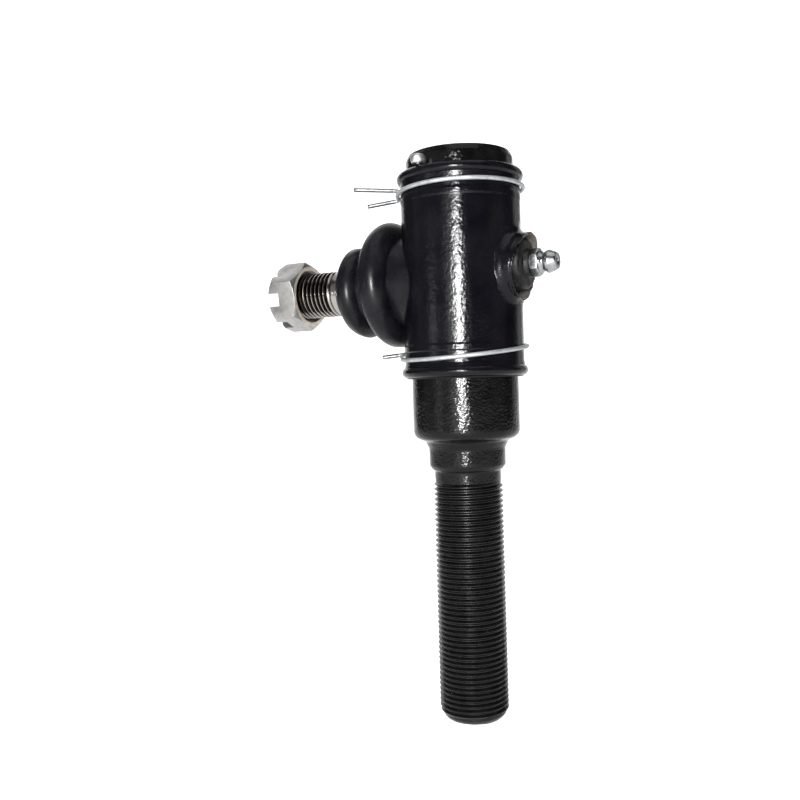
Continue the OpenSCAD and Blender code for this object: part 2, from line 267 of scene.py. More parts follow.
def cap_ends(mesh):
    """Closes every hole in the mesh with one face."""
    work = bmesh.new()
    work.from_mesh(mesh)
    bmesh.ops.remove_doubles(work, verts=work.verts, dist=2e-6)
    loose = [e for e in work.edges if len(e.link_faces) == 1]
    bmesh.ops.holes_fill(work, edges=loose, sides=0)
    bmesh.ops.recalc_face_normals(work, faces=work.faces)
    work.to_mesh(mesh)
    work.free()


def heading(path):
    """Unit vectors along a path of points."""
    ahead = np.gradient(path, axis=0)
    return ahead / np.linalg.norm(ahead, axis=1, keepdims=True)


def sweep(name, path, radius, sides, turn=None):
    """Round wire along a path of points in mm, with the edges of its ends eased."""
    eased = 0.15
    path = np.array(path, float)
    ahead = heading(path)
    side = np.cross(ahead, (0, 0, 1.0))
    side /= np.linalg.norm(side, axis=1, keepdims=True)
    up = np.cross(side, ahead)
    rings = [path[0], *path, path[-1]]
    scales = [1 - eased] + [1] * len(path) + [1 - eased]
    order = [0, *range(len(path)), len(path) - 1]
    rings[1] = path[0] + ahead[0] * radius * eased
    rings[-2] = path[-1] - ahead[-1] * radius * eased
    angles = np.linspace(0, 2 * math.pi, sides, endpoint=False)
    verts = []
    for centre, scale, k in zip(rings, scales, order):
        for angle in angles:
            verts.append(centre + radius * scale * (math.cos(angle) * side[k] + math.sin(angle) * up[k]))
    return make(name, verts, capped_faces(len(rings), sides), turn, 50)


def settle(piece, sharp):
    """Applies the piece's modifiers to its mesh."""
    graph = bpy.context.evaluated_depsgraph_get()
    mesh = bpy.data.meshes.new_from_object(piece.evaluated_get(graph))
    mesh.name = piece.name
    piece.modifiers.clear()
    piece.data = mesh
    tidy(mesh)
    shade(mesh, sharp)


def combine(piece, tool, operation="DIFFERENCE", sharp=40):
    """Cuts, joins or intersects the piece with a tool object, which is used up."""
    step = piece.modifiers.new("combine", "BOOLEAN")
    step.operation = operation
    step.object = tool
    step.solver = "EXACT"
    settle(piece, sharp)
    bpy.data.objects.remove(tool)


def bevel(piece, width, segments):
    """Rounds the piece's sharp edges, by width in mm."""
    step = piece.modifiers.new("bevel", "BEVEL")
    step.width = width * MM
    step.segments = segments
    step.limit_method = "ANGLE"
    step.angle_limit = math.radians(35)
    step.use_clamp_overlap = True
    settle(piece, 60)


def block(name, low, high, turn=None):
    """A cutting block between two corners in mm."""
    xs, ys, zs = zip(low, high)
    verts = [(x, y, z) for x in xs for y in ys for z in zs]
    faces = [(0, 1, 3, 2), (4, 6, 7, 5), (0, 4, 5, 1), (2, 3, 7, 6), (0, 2, 6, 4), (1, 5, 7, 3)]
    return make(name, verts, faces, turn)


def rod(name, radius, low, high, turn=None, segments=128):
    """A cutting cylinder."""
    return lathe(name, [(0, low), (radius, low), (radius, high), (0, high)], turn, segments)


def hexagon(name, across, low, high, turn=None):
    """A hexagonal bar with two corners along X."""
    corner = across / 2 / math.cos(math.pi / 6)
    angles = [math.radians(60 * k) for k in range(6)]
    verts = [(corner * math.cos(a), corner * math.sin(a), z) for z in (low, high) for a in angles]
    return make(name, verts, capped_faces(2, 6), turn)


def points_of(mesh):
    """The mesh's points in mm, one to a row."""
    flat = np.empty(len(mesh.vertices) * 3)
    mesh.vertices.foreach_get("co", flat)
    return flat.reshape(-1, 3) / MM


def set_points(mesh, points):
    """Moves the mesh's points to these places in mm."""
    mesh.vertices.foreach_set("co", (points * MM).ravel())
    mesh.update()


def noise_at(points, size, offset=0.0):
    """Smooth noise from -1 to 1 whose lumps are about size mm."""
    return np.array([noise.noise(Vector(p) / size + Vector((offset, 0, 0))) for p in points])


def paint(piece, *materials):
    """Replaces the piece's list of materials."""
    piece.data.materials.clear()
    for m in materials:
        piece.data.materials.append(m)


def paint_second(piece, test):
    """Gives the second of the piece's materials to the faces that pass the test."""
    for face in piece.data.polygons:
        if test(face):
            face.material_index = 1


# ---------------------------------------------------------------- materials


class Shader:
    """A material with one principled shader, and short ways to add nodes to it."""

    def __init__(self, name, colour, roughness, metallic=0.0, specular=0.5):
        self.material = bpy.data.materials.new(name)
        self.material.use_nodes = True
        self.nodes = self.material.node_tree.nodes
        self.links = self.material.node_tree.links
        self.main = self.nodes["Principled BSDF"]
        self.main.inputs["Base Color"].default_value = (*colour, 1)
        self.main.inputs["Roughness"].default_value = roughness
        self.main.inputs["Metallic"].default_value = metallic
        self.main.inputs["Specular IOR Level"].default_value = specular
        self.place = self.nodes.new("ShaderNodeTexCoord").outputs["Object"]
        self.normal = None

    def stretch(self, x, y, z):
        """Object coordinates scaled along each axis, so that a texture is drawn out."""
        node = self.nodes.new("ShaderNodeMapping")
        node.inputs["Scale"].default_value = (x, y, z)
        self.links.new(self.place, node.inputs["Vector"])
        return node.outputs["Vector"]

    def noise(self, size, detail=3.0, rough=0.5, place=None):
        """Noise with lumps of about size mm."""
        node = self.nodes.new("ShaderNodeTexNoise")
        node.inputs["Scale"].default_value = 1 / (size * MM)
        node.inputs["Detail"].default_value = detail
        node.inputs["Roughness"].default_value = rough
        self.links.new(place or self.place, node.inputs["Vector"])
        return node.outputs["Fac"]

    def ramp(self, value, low, high, start=0.3, end=0.7):
        """A colour or grey that goes from low to high as value goes from start to end."""
        node = self.nodes.new("ShaderNodeValToRGB")
        for stop, where, tint in zip(node.color_ramp.elements, (start, end), (low, high)):
            stop.position = where
            stop.color = (tint, tint, tint, 1) if isinstance(tint, (int, float)) else (*tint, 1)
        self.links.new(value, node.inputs["Fac"])
        return node.outputs["Color"]

    def colour(self, value, low, high, start=0.3, end=0.7):
        """Makes the colour follow the value, as ramp does."""
        self.links.new(self.ramp(value, low, high, start, end), self.main.inputs["Base Color"])

    def roughness(self, value, low, high):
        """Makes the roughness follow the value, as ramp does."""
        self.links.new(self.ramp(value, low, high), self.main.inputs["Roughness"])

    def bump(self, value, height):
        """Adds relief of about height mm on top of what is there."""
        node = self.nodes.new("ShaderNodeBump")
        node.inputs["Strength"].default_value = 1.0
        node.inputs["Distance"].default_value = height * MM
        self.links.new(value, node.inputs["Height"])
        if self.normal is not None:
            self.links.new(self.normal, node.inputs["Normal"])
        self.normal = node.outputs["Normal"]
        self.links.new(self.normal, self.main.inputs["Normal"])


def black_paint():
    """Gloss black paint over a rough forging, with pimples under 1 mm across."""
    s = Shader("black_paint", (0.002, 0.002, 0.002), 0.08, specular=0.15)
    s.colour(s.noise(4, 4), (0.001, 0.001, 0.001), (0.003, 0.003, 0.003))
    s.roughness(s.noise(2.5, 5), 0.05, 0.10)
    s.bump(s.noise(3.4, 2), 0.08)
    s.bump(s.noise(0.75, 2, 0.55), 0.105)
    return s.material


def worn_paint():
    """Duller black on the boss inside the window, where grease and dust have settled."""
    s = Shader("worn_paint", (0.006, 0.006, 0.006), 0.45, specular=0.12)
    s.colour(s.noise(2.2, 5, 0.6), (0.003, 0.003, 0.003), (0.02, 0.019, 0.018), 0.45, 0.75)
    s.roughness(s.noise(1.4, 4), 0.36, 0.56)
    s.bump(s.noise(0.9, 4, 0.6), 0.08)
    return s.material


def thread_paint():
    """The same paint on the rolled thread, smoother and with dust in places."""
    s = Shader("thread_paint", (0.002, 0.002, 0.002), 0.24, specular=0.2)
    s.colour(s.noise(3, 5), (0.001, 0.001, 0.001), (0.004, 0.004, 0.004))
    s.roughness(s.noise(1.6, 4), 0.16, 0.34)
    s.bump(s.noise(0.8, 3), 0.02)
    return s.material


def sleeve_rubber():
    """Moulded rubber with draw marks that run down the sleeve."""
    s = Shader("sleeve_rubber", (0.002, 0.002, 0.003), 0.14, specular=0.15)
    streaks = s.noise(0.9, 5, 0.65, s.stretch(1, 1, 0.06))
    s.colour(s.noise(9, 4), (0.001, 0.001, 0.002), (0.003, 0.003, 0.004))
    s.roughness(streaks, 0.09, 0.18)
    s.bump(streaks, 0.012)
    s.bump(s.noise(3.5, 3), 0.05)
    s.bump(s.noise(1.1, 3), 0.09)
    s.bump(s.noise(0.6, 3, 0.6), 0.04)
    return s.material


def boot_rubber():
    """Softer satin rubber of the boot, with a faint bloom."""
    s = Shader("boot_rubber", (0.003, 0.003, 0.004), 0.3, specular=0.12)
    s.colour(s.noise(5, 5), (0.002, 0.002, 0.003), (0.005, 0.005, 0.006))
    s.roughness(s.noise(2.2, 5), 0.24, 0.36)
    s.bump(s.noise(2.4, 3), 0.035)
    s.bump(s.noise(0.3, 2), 0.006)
    return s.material


def cut_rubber():
    """Torn, dusty edge of the window in the sleeve."""
    s = Shader("cut_rubber", (0.06, 0.052, 0.045), 0.85)
    s.colour(s.noise(0.9, 6, 0.7), (0.022, 0.019, 0.017), (0.115, 0.10, 0.085))
    s.roughness(s.noise(0.5, 3), 0.75, 0.95)
    s.bump(s.noise(0.55, 5, 0.7), 0.12)
    return s.material


def plated(name, low, high, rough, grain=0.5, relief=0.01, metallic=1.0):
    """Zinc or similar plating: tone, roughness and grain vary a little."""
    s = Shader(name, high, sum(rough) / 2, metallic)
    s.colour(s.noise(1.8, 5, 0.6), low, high, 0.32, 0.62)
    s.roughness(s.noise(0.7, 4), *rough)
    s.bump(s.noise(grain, 3), relief)
    return s.material


def turned_steel(name, low, high, rough, axis):
    """Machined steel: fine tool marks lie square to the axis it was turned on."""
    s = Shader(name, high, sum(rough) / 2, 1.0)
    scale = [0.02, 0.02, 0.02]
    scale[axis] = 1
    marks = s.noise(0.16, 3, 0.6, s.stretch(*scale))
    s.colour(s.noise(2.2, 5, 0.6), low, high, 0.3, 0.62)
    s.roughness(marks, *rough)
    s.bump(marks, 0.006)
    return s.material


def thread_steel():
    """Bright thread crests that fall off to dark roots, where painted shade darkens the thread's hollows.
    """
    root_r, crest_r = 6.6, 7.0
    s = Shader("thread_steel", (0.5, 0.48, 0.46), 0.25, 1.0)
    # Painted shade: the colour darkens with depth from crest to root, standing in for the shade in the
    # thread's hollows.
    across = s.nodes.new("ShaderNodeVectorMath")
    across.operation = "LENGTH"
    s.links.new(s.stretch(0, 1, 1), across.inputs[0])
    depth = s.nodes.new("ShaderNodeMapRange")
    depth.inputs["From Min"].default_value = root_r * MM
    depth.inputs["From Max"].default_value = crest_r * MM
    s.links.new(across.outputs["Value"], depth.inputs["Value"])
    s.colour(depth.outputs["Result"], (0.035, 0.028, 0.022), (0.31, 0.295, 0.28), 0.1, 0.9)
    s.roughness(s.noise(0.6, 4), 0.12, 0.26)
    s.bump(s.noise(0.25, 3), 0.012)
    return s.material


BLACK = black_paint()
WORN_BLACK = worn_paint()
THREAD_BLACK = thread_paint()
SLEEVE = sleeve_rubber()
BOOT = boot_rubber()
CUT = cut_rubber()
ZINC = plated("bright_zinc", (0.18, 0.19, 0.195), (0.31, 0.325, 0.33), (0.20, 0.30))
WIRE = plated("wire_zinc", (0.22, 0.23, 0.24), (0.32, 0.33, 0.34), (0.36, 0.48), 0.3, 0.006, 0.6)
# A darker copy of the wire's zinc for the bent-out ends: painted shade, so that the ends read darker than
# the ring.
SHADED_WIRE_TIPS = plated("wire_tips_painted_shade", (0.08, 0.082, 0.085), (0.17, 0.175, 0.18), (0.28, 0.4), 0.3, 0.006)
NUT = plated("satin_zinc", (0.235, 0.23, 0.222), (0.32, 0.315, 0.305), (0.28, 0.42), 0.35, 0.014)
NUT_FACED = plated("nut_bearing_face", (0.60, 0.53, 0.45), (0.78, 0.71, 0.62), (0.5, 0.66), 0.3, 0.02)
DULL = plated("dull_zinc", (0.30, 0.31, 0.31), (0.55, 0.56, 0.55), (0.34, 0.5), 0.4, 0.02)
STUD_STEEL = turned_steel("machined_steel", (0.42, 0.41, 0.39), (0.70, 0.69, 0.67), (0.18, 0.34), 0)
STUD_THREAD = thread_steel()
PLUG_STEEL = turned_steel("plain_steel", (0.20, 0.20, 0.20), (0.42, 0.42, 0.43), (0.3, 0.5), 2)
SEAT_STEEL = plated("sintered_steel", (0.12, 0.115, 0.11), (0.24, 0.23, 0.22), (0.42, 0.6), 0.25, 0.02)
SPRING_STEEL = plated("spring_steel", (0.16, 0.16, 0.17), (0.32, 0.32, 0.34), (0.28, 0.42), 0.3, 0.008)
POLISHED = plated("polished_steel", (0.72, 0.72, 0.73), (0.84, 0.84, 0.85), (0.06, 0.12), 0.4, 0.002)


# ---------------------------------------------------------------- socket and shank


PIN_Z, PIN_DEGREES = 33.3, 254.5
PIN_TURN = (
    Matrix.Translation((0, 0, PIN_Z))
    @ Matrix.Rotation(math.radians(PIN_DEGREES), 4, "Z")
    @ Matrix.Rotation(math.radians(90), 4, "Y")
)


def socket_forging():
    """Tube, collar and neck in one forging, open at the top, with its side openings."""
    bore_r, floor, seat, plug_r = 12.6, -36.0, 24.0, 13.42
    outline = rounded(
        [
            (0, floor, 0), (bore_r, floor, 0.6), (bore_r, seat, 0), (plug_r, seat, 0),
            (plug_r, TUBE_TOP, 0.3), (TUBE_R - 0.7, TUBE_TOP, 0.5), (TUBE_R, TUBE_TOP - 1.7, 1.0),
            (TUBE_R, -44.2, 2.6), (12.2, -45.6, 1.2), (11.2, -47.6, 1.6), (11.1, -52.6, 0.8),
            (10.4, -53.7, 0.5), (9.7, -54.2, 0.4), (9.6, THREAD_TOP - 0.6, 0.2), (0, THREAD_TOP - 0.6, 0),
        ],
        5,
    )
    piece = lathe("socket_forging", refined(outline, 0.9), segments=160)
    boss = lathe(
        "boss",
        rounded(
            [(0, 10, 0), (9, 10, 0), (7.5, 17, 1.5), (7.1, 19.9, 0.8), (6.2, 20.3, 0.5), (4.1, 20.5, 0.2),
             (3.85, 21.7, 0.15), (0, 21.7, 0)],
            4,
        ),
        ALONG_PORT, 72,
    )
    combine(piece, boss, "UNION")
    combine(piece, rod("bore", bore_r, floor + 0.7, seat + 5))
    combine(piece, rod("port", 3.05, 5, 25, ALONG_PORT, 48))
    combine(piece, rod("pin_hole", 1.35, -20, 20, PIN_TURN, 32))
    combine(piece, stud_window())
    roughen(piece)
    paint(piece, BLACK, WORN_BLACK)
    paint_second(piece, lambda face: face.center.x > (TUBE_R + 0.2) * MM)
    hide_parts("socket_rod")
    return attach(piece, "housing")


def roughen(piece):
    """Presses shallow lumps into the forging's outer skin, and leaves the bore as it is."""
    relief, lump_size = 0.05, 3.6
    bore_edge, bore_bottom = 14.2, -44
    points = points_of(piece.data)
    radial = points * (1, 1, 0)
    distance = np.maximum(np.linalg.norm(radial, axis=1, keepdims=True), 1e-6)
    skin = np.clip((distance[:, 0] - 9.3) / 0.3, 0, 1) * (np.abs(points[:, 2]) < 60)
    skin = np.where((distance[:, 0] < bore_edge) & (points[:, 2] > bore_bottom), 0, skin)
    lumps = relief * noise_at(points, lump_size)
    points += radial / distance * (skin * (lumps - relief))[:, None]
    set_points(piece.data, points)
    shade(piece.data, 35)


def stud_window():
    """Cutter for the square opening with round corners that the stud swings in."""
    half, corner, low, high = 11.3, 5.0, 5, 18
    corners = [(half, half), (-half, half), (-half, -half), (half, -half)]
    outline = rounded([(x, y, corner) for x, y in corners], 8)
    verts = [(x, y, z) for z in (low, high) for x, y in outline]
    return make("stud_window", verts, capped_faces(2, len(outline)), ALONG_STUD)


def shank_thread():
    """The shank's M20 thread: about 44 full turns, between the neck and the end chamfer."""
    start = THREAD_TOP + 0.25
    chamfer, tip_r, neck_r = 3.0, 7.3, 9.3

    def envelope(z):
        end = tip_r + (SHANK_R - tip_r) * np.clip((z - SHANK_END) / chamfer, 0, 1) ** 0.55
        run_out = neck_r + (SHANK_R - neck_r) * np.clip((start - z) / 0.5, 0, 1)
        return np.minimum(np.minimum(end, run_out), SHANK_R)

    piece = helix_thread("shank_thread", envelope, PITCH, 0.86, SHANK_END, start, segments=120)
    paint(piece, THREAD_BLACK)
    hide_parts("socket_rod")
    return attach(piece, "housing")


# ---------------------------------------------------------------- sleeve


# The sleeve's rolled edges, and how the window's rim dips at its sides and leans in at the bottom.
BEAD_R, BEAD_TUBE, UPPER_BEAD, LOWER_BEAD = SLEEVE_R - 0.6, 1.6, 30.1, -25.5
RIM_DIP, RIM_LEAN = 1.05, 1.55

# Radius of the hole cut for the collar, within which the collar is bare rubber.
CUT_R = 9.1

# Rings of the collar from its rim down: radius above the window and beside it, and the
# share of the way from the sleeve's skin up to the rim, above the window and beside it.
COLLAR_STEPS = (
    (9.0, 9.0, 1.0, 1.0), (9.25, 9.3, 0.98, 0.985), (9.35, 9.4, 0.9, 0.93), (9.4, 9.35, 0.8, 0.86),
    (9.4, 9.45, 0.7, 0.78), (9.45, 9.65, 0.62, 0.72), (9.5, 9.6, 0.56, 0.66), (9.6, 9.5, 0.5, 0.55),
    (9.75, 9.5, 0.42, 0.40), (9.95, 9.6, 0.34, 0.29), (10.25, 9.72, 0.26, 0.24), (10.7, 9.74, 0.18, 0.16),
    (11.3, 9.76, 0.1, 0.09), (12.1, 9.78, 0.04, 0.03), (13.2, 9.8, 0.0, 0.0),
)


def sleeve():
    """Moulded sleeve: rolled beads, ribs, the flared window and a hole for the boot's neck."""
    inner, edge, rib = TUBE_R + 0.08, 16.9, SLEEVE_R + 0.14
    outline = [(inner, SLEEVE_BOTTOM), (edge, SLEEVE_BOTTOM)]
    outline += arc(BEAD_R, LOWER_BEAD, BEAD_TUBE, -78, 58, 20)
    outline += rounded(
        [
            (*outline[-1], 0), (SLEEVE_R, -22.9, 2.0), (SLEEVE_R, -19.9, 0.12), (rib, -19.5, 0.3),
            (rib, -18.2, 0.4), (SLEEVE_R, -17.6, 0.5), (SLEEVE_R, 22.6, 0.5), (rib, 23.2, 0.4),
            (rib, 24.3, 0.3), (SLEEVE_R, 24.9, 0.4), (SLEEVE_R, 27.6, 1.0),
            (BEAD_R + BEAD_TUBE * 0.5, UPPER_BEAD - BEAD_TUBE * 0.8, 0),
        ],
        6,
    )[1:]
    outline += arc(BEAD_R, UPPER_BEAD, BEAD_TUBE, -50, 70, 20)
    outline += [(edge, SLEEVE_TOP - 0.25), (edge - 0.3, SLEEVE_TOP), (inner, SLEEVE_TOP)]
    piece = lathe("dust_sleeve_skin", refined(outline, 0.55), segments=288)
    paint(piece, SLEEVE, CUT)
    combine(piece, rod("window", CUT_R, 5, 30, ALONG_WINDOW))
    combine(piece, window_collar(), "UNION", 35)
    combine(piece, rod("neck_hole", 14.06, 5, 30, ALONG_STUD), sharp=35)
    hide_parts("dust_sleeve")
    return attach(piece, "housing")


def window_collar():
    """Collar drawn out round the window in steps, with a torn rim of bare rubber."""
    hole, bottom, count = 8.8, TUBE_R + 0.12, 192
    around = np.linspace(0, 2 * math.pi, count, endpoint=False)
    beside = np.sin(around) ** 2
    rim = WINDOW_RIM - RIM_DIP * beside - RIM_LEAN * (1 - np.cos(around))

    def ring(radius, x):
        return np.stack([x, radius * np.sin(around), WINDOW_Z + radius * np.cos(around)], axis=-1)

    def skin(radius, sleeve_r):
        return np.sqrt(sleeve_r ** 2 - (radius * np.sin(around)) ** 2)

    foot = skin(hole, bottom)
    rings = [ring(hole, foot + (rim - 0.15 - foot) * t) for t in np.linspace(0, 1, 12)]
    for over, side, over_h, side_h in COLLAR_STEPS:
        radius = over + (side - over) * beside
        base = skin(radius, SLEEVE_R)
        rings.append(ring(radius, base + (rim - base) * (over_h + (side_h - over_h) * beside)))
    tuck = 13.6 - 3.5 * beside
    rings.append(ring(tuck, skin(tuck, SLEEVE_R - 0.8)))
    points = np.concatenate(rings)
    rims = np.tile(rim, len(rings))
    high = np.clip((points[:, 0] - rims + 1.6) / 1.2, 0, 1)
    flat = points * (0, 1, 1)
    points[:, 0] -= high * (0.5 * np.abs(noise_at(flat, 1.3, 3)) + 0.45 * np.abs(noise_at(flat, 4.5, 9)))
    spread = 1 + 0.014 * noise_at(points, 2.5, 5) * np.clip(high + 0.3, 0, 1)
    points[:, 1] *= spread
    points[:, 2] = WINDOW_Z + (points[:, 2] - WINDOW_Z) * spread
    piece = make("window_collar", points, grid_faces(len(rings), count, wrap_rows=True), sharp=38)
    paint(piece, SLEEVE, CUT)
    paint_second(piece, lambda face: math.hypot(face.center.y / MM, face.center.z / MM - WINDOW_Z) < CUT_R)
    return piece


# ---------------------------------------------------------------- boot


# Each fold's place along the stud and its radius in section; then the neck, which starts inside
# the sleeve, and the groove between the folds.
FOLD_1, FOLD_1_TUBE = 21.8, 4.3
FOLD_2, FOLD_2_TUBE = 33.0, 3.4
NECK_R, NECK_START = 14.0, 9.0
GROOVE_R = 11.3
BOOT_WALL, NECK_WALL = 1.1, 0.7


def cock(piece):
    """Sets the boot's folds a little askew, as soft rubber sits."""
    points = points_of(piece.data)
    along = -points[:, 0]
    places = (14, 17.5, 22, 28, 33, 35.4)
    lift = np.interp(along, places, (0, 0.9, 1.1, 0.3, -0.5, 0))
    lean = np.interp(along, places, (0, 0.02, 0.035, 0.06, 0.075, 0))
    points[:, 0] -= lean * points[:, 2]
    points[:, 2] += lift
    set_points(piece.data, points)


def boot_fold():
    """Neck of the boot and its large fold, as far as the fold's crest."""
    ring = BIG_FOLD_R - FOLD_1_TUBE
    outer = [(NECK_R, NECK_START), (NECK_R, FOLD_1 - FOLD_1_TUBE)]
    outer += arc(ring, FOLD_1, FOLD_1_TUBE, -95, 0, 22)
    inner = arc(ring, FOLD_1, FOLD_1_TUBE - BOOT_WALL, 0, -80, 14)
    inner += [(NECK_R - NECK_WALL, FOLD_1 - FOLD_1_TUBE + BOOT_WALL), (NECK_R - NECK_WALL, NECK_START)]
    piece = lathe("boot_fold", refined(outer + inner, 0.6), ALONG_STUD, 160, 50)
    cock(piece)
    combine(piece, rod("trim", TUBE_R + 0.12, -40, 40, segments=160), sharp=50)
    paint(piece, BOOT)
    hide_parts("stud_boot")
    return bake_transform(piece)


def boot_tip():
    """Front of the large fold, the groove, and the small fold with the lip that grips the stud."""
    mouth_r, pocket_r = 8.15, 8.72
    big_ring, ring = BIG_FOLD_R - FOLD_1_TUBE, SMALL_FOLD_R - FOLD_2_TUBE
    outer = arc(big_ring, FOLD_1, FOLD_1_TUBE, 0, 116, 26)
    outer += [(GROOVE_R, BOOT_SPLIT - 0.35), (GROOVE_R - 0.3, BOOT_SPLIT), (GROOVE_R, BOOT_SPLIT + 0.25)]
    outer += arc(ring, FOLD_2, FOLD_2_TUBE, -74, 62, 28)
    outer += rounded(
        [(*outer[-1], 0), (9.4, BOOT_END - 0.5, 1.2), (8.6, BOOT_END, 0.3), (mouth_r, BOOT_END - 0.2, 0)],
        5,
    )[1:]
    # The mouth on the stud, and the pocket that holds the support ring
    inner = [(mouth_r, BOOT_END - 0.63), (pocket_r, BOOT_END - 0.63), (pocket_r, BOOT_END - 2.97)]
    inner += arc(ring, FOLD_2, FOLD_2_TUBE - BOOT_WALL, 62, -60, 16) + [(GROOVE_R - BOOT_WALL, BOOT_SPLIT)]
    inner += arc(big_ring, FOLD_1, FOLD_1_TUBE - BOOT_WALL, 112, 0, 18)
    piece = lathe("boot_tip", refined(outer + inner, 0.6), ALONG_STUD, 144, 50)
    cock(piece)
    paint(piece, BOOT)
    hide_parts("boot_cuff")
    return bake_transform(piece)


# ---------------------------------------------------------------- wire rings


def wire_ring(name, node, height, drop, lean, lean_way, tails):
    """One turn of spring wire round the sleeve, with its two ends bent out.

    The ring drops by drop over its turn and leans by lean towards lean_way, in degrees. Each of
    the tails is a length and a slope in degrees.
    """
    radius, wire, bend_length = SLEEVE_R + 0.85, 0.6, 1.4
    start, turn, out = math.radians(200), math.radians(368), math.radians(209)
    steps = 220
    ring = []
    for k in range(steps + 1):
        angle = start - turn * k / steps
        level = height - drop * k / steps + lean * math.cos(angle - math.radians(lean_way))
        ring.append(np.array((radius * math.cos(angle), radius * math.sin(angle), level)))
    ends = []
    for root, before, (length, slope) in ((ring[0], ring[4], tails[0]), (ring[-1], ring[-5], tails[1])):
        rise = math.radians(slope)
        way = np.array((math.cos(rise) * math.cos(out), math.cos(rise) * math.sin(out), math.sin(rise)))
        bend = []
        for t in np.linspace(0, 1, 9)[1:]:
            bend.append((1 - t) ** 2 * before + 2 * t * (1 - t) * root + t * t * (root + way * bend_length))
        ends.append(bend + [root + way * d for d in np.linspace(bend_length, length, 8)[1:]])
    path = ends[0][::-1] + ring[4:-4] + ends[1]
    piece = sweep(name, path, wire, 20)
    # The ends beyond the ring get the darker copy of the wire's zinc, which is painted shade.
    paint(piece, WIRE, SHADED_WIRE_TIPS)
    paint_second(piece, lambda face: math.hypot(face.center.x, face.center.y) > (radius + 1.3) * MM)
    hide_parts(node)
    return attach(piece, "housing")


# ---------------------------------------------------------------- ball stud and nut


def stud_body():
    """Ball, neck and 1:10 taper, with a rounded root to the thread."""
    neck = 6.6
    ball_edge = math.degrees(math.acos(neck / BALL_R))
    outline = [(0, -BALL_R)] + arc(0, 0, BALL_R, -89, ball_edge - 3, 40)
    outline += rounded(
        [
            (*outline[-1], 0), (neck, 10.8, 1.2), (neck, 21.4, 2.5), (8.4, 24.6, 1.2),
            (8.5, 25.4, 0.8), (7.85, 38.0, 0.3), (6.9, 38.6, 0.1), (6.1, 41, 0), (0, 41, 0),
        ],
        5,
    )[1:]
    piece = lathe("stud_body", outline, ALONG_STUD, 128, 40)
    paint(piece, STUD_STEEL)
    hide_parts("ball_stud")
    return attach(piece, "stud")


def stud_thread():
    """The stud's M14 thread, which fades out towards the taper, and its cotter hole."""
    start, radius, chamfer = 38.4, 7.0, 1.0
    fade, cotter_at = (39.6, 44.0), 55.2

    def envelope(z):
        return radius - np.clip(z - (STUD_END - chamfer), 0, chamfer)

    piece = helix_thread("stud_thread", envelope, PITCH, 0.9, start, STUD_END, ALONG_STUD, grow=fade)
    across = Matrix.Translation((-cotter_at, 0, 0)) @ Matrix.Rotation(math.pi / 2, 4, "X")
    combine(piece, rod("cotter_hole", 1.6, -12, 12, across, 32), sharp=30)
    paint(piece, STUD_THREAD, STUD_STEEL)
    paint_second(piece, lambda face: face.center.x < -(STUD_END - 0.6) * MM)
    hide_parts("ball_stud")
    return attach(piece, "stud")


def slotted_nut():
    """Hexagon nut with chamfered corners, a threaded bore and six slots."""
    corner = NUT_AF / 2 / math.cos(math.pi / 6)
    slot_w, slot_floor = 4.0, NUT_TOP - 5.0
    turned = ALONG_STUD @ Matrix.Rotation(math.radians(NUT_TURNED), 4, "Z")
    piece = hexagon("slotted_nut", NUT_AF, NUT_FACE, NUT_TOP, turned)
    washer = NUT_AF / 2 - 0.05
    dome = lathe(
        "dome",
        [(0, NUT_FACE), (washer, NUT_FACE), (corner + 0.2, NUT_FACE + 1.3), (corner + 0.2, NUT_TOP - 2.9),
         (NUT_AF / 2 + 0.1, NUT_TOP - 1.3), (NUT_AF / 2 - 1.0, NUT_TOP - 0.25),
         (NUT_AF / 2 - 1.7, NUT_TOP), (0, NUT_TOP)],
        ALONG_STUD, 120,
    )
    combine(piece, dome, "INTERSECT")
    for k in range(3):
        turn = turned @ Matrix.Rotation(math.radians(30 + 60 * k), 4, "Z")
        slot = block("slot", (-20, -slot_w / 2, slot_floor), (20, slot_w / 2, NUT_TOP + 5), turn)
        combine(piece, slot)
    mouth = lathe(
        "mouth",
        [(0, NUT_FACE - 1), (9.4, NUT_FACE - 1), (8.3, NUT_FACE), (6.6, NUT_FACE + 1.9),
         (6.3, slot_floor - 0.6), (7.25, slot_floor + 0.3), (7.25, NUT_TOP + 1), (0, NUT_TOP + 1)],
        ALONG_STUD, 96,
    )
    combine(piece, mouth)
    bevel(piece, 0.28, 3)
    tap = helix_thread("tap", lambda z: 7.12, PITCH, 0.9, NUT_FACE - 2, slot_floor + 2.5, ALONG_STUD, 72)
    combine(piece, tap)
    paint(piece, NUT, NUT_FACED)
    paint_second(piece, lambda face: face.normal.x > 0.9 and face.center.x > -(NUT_FACE + 0.5) * MM)
    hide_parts("castle_nut")
    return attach(piece, "nut")


# ---------------------------------------------------------------- grease fitting


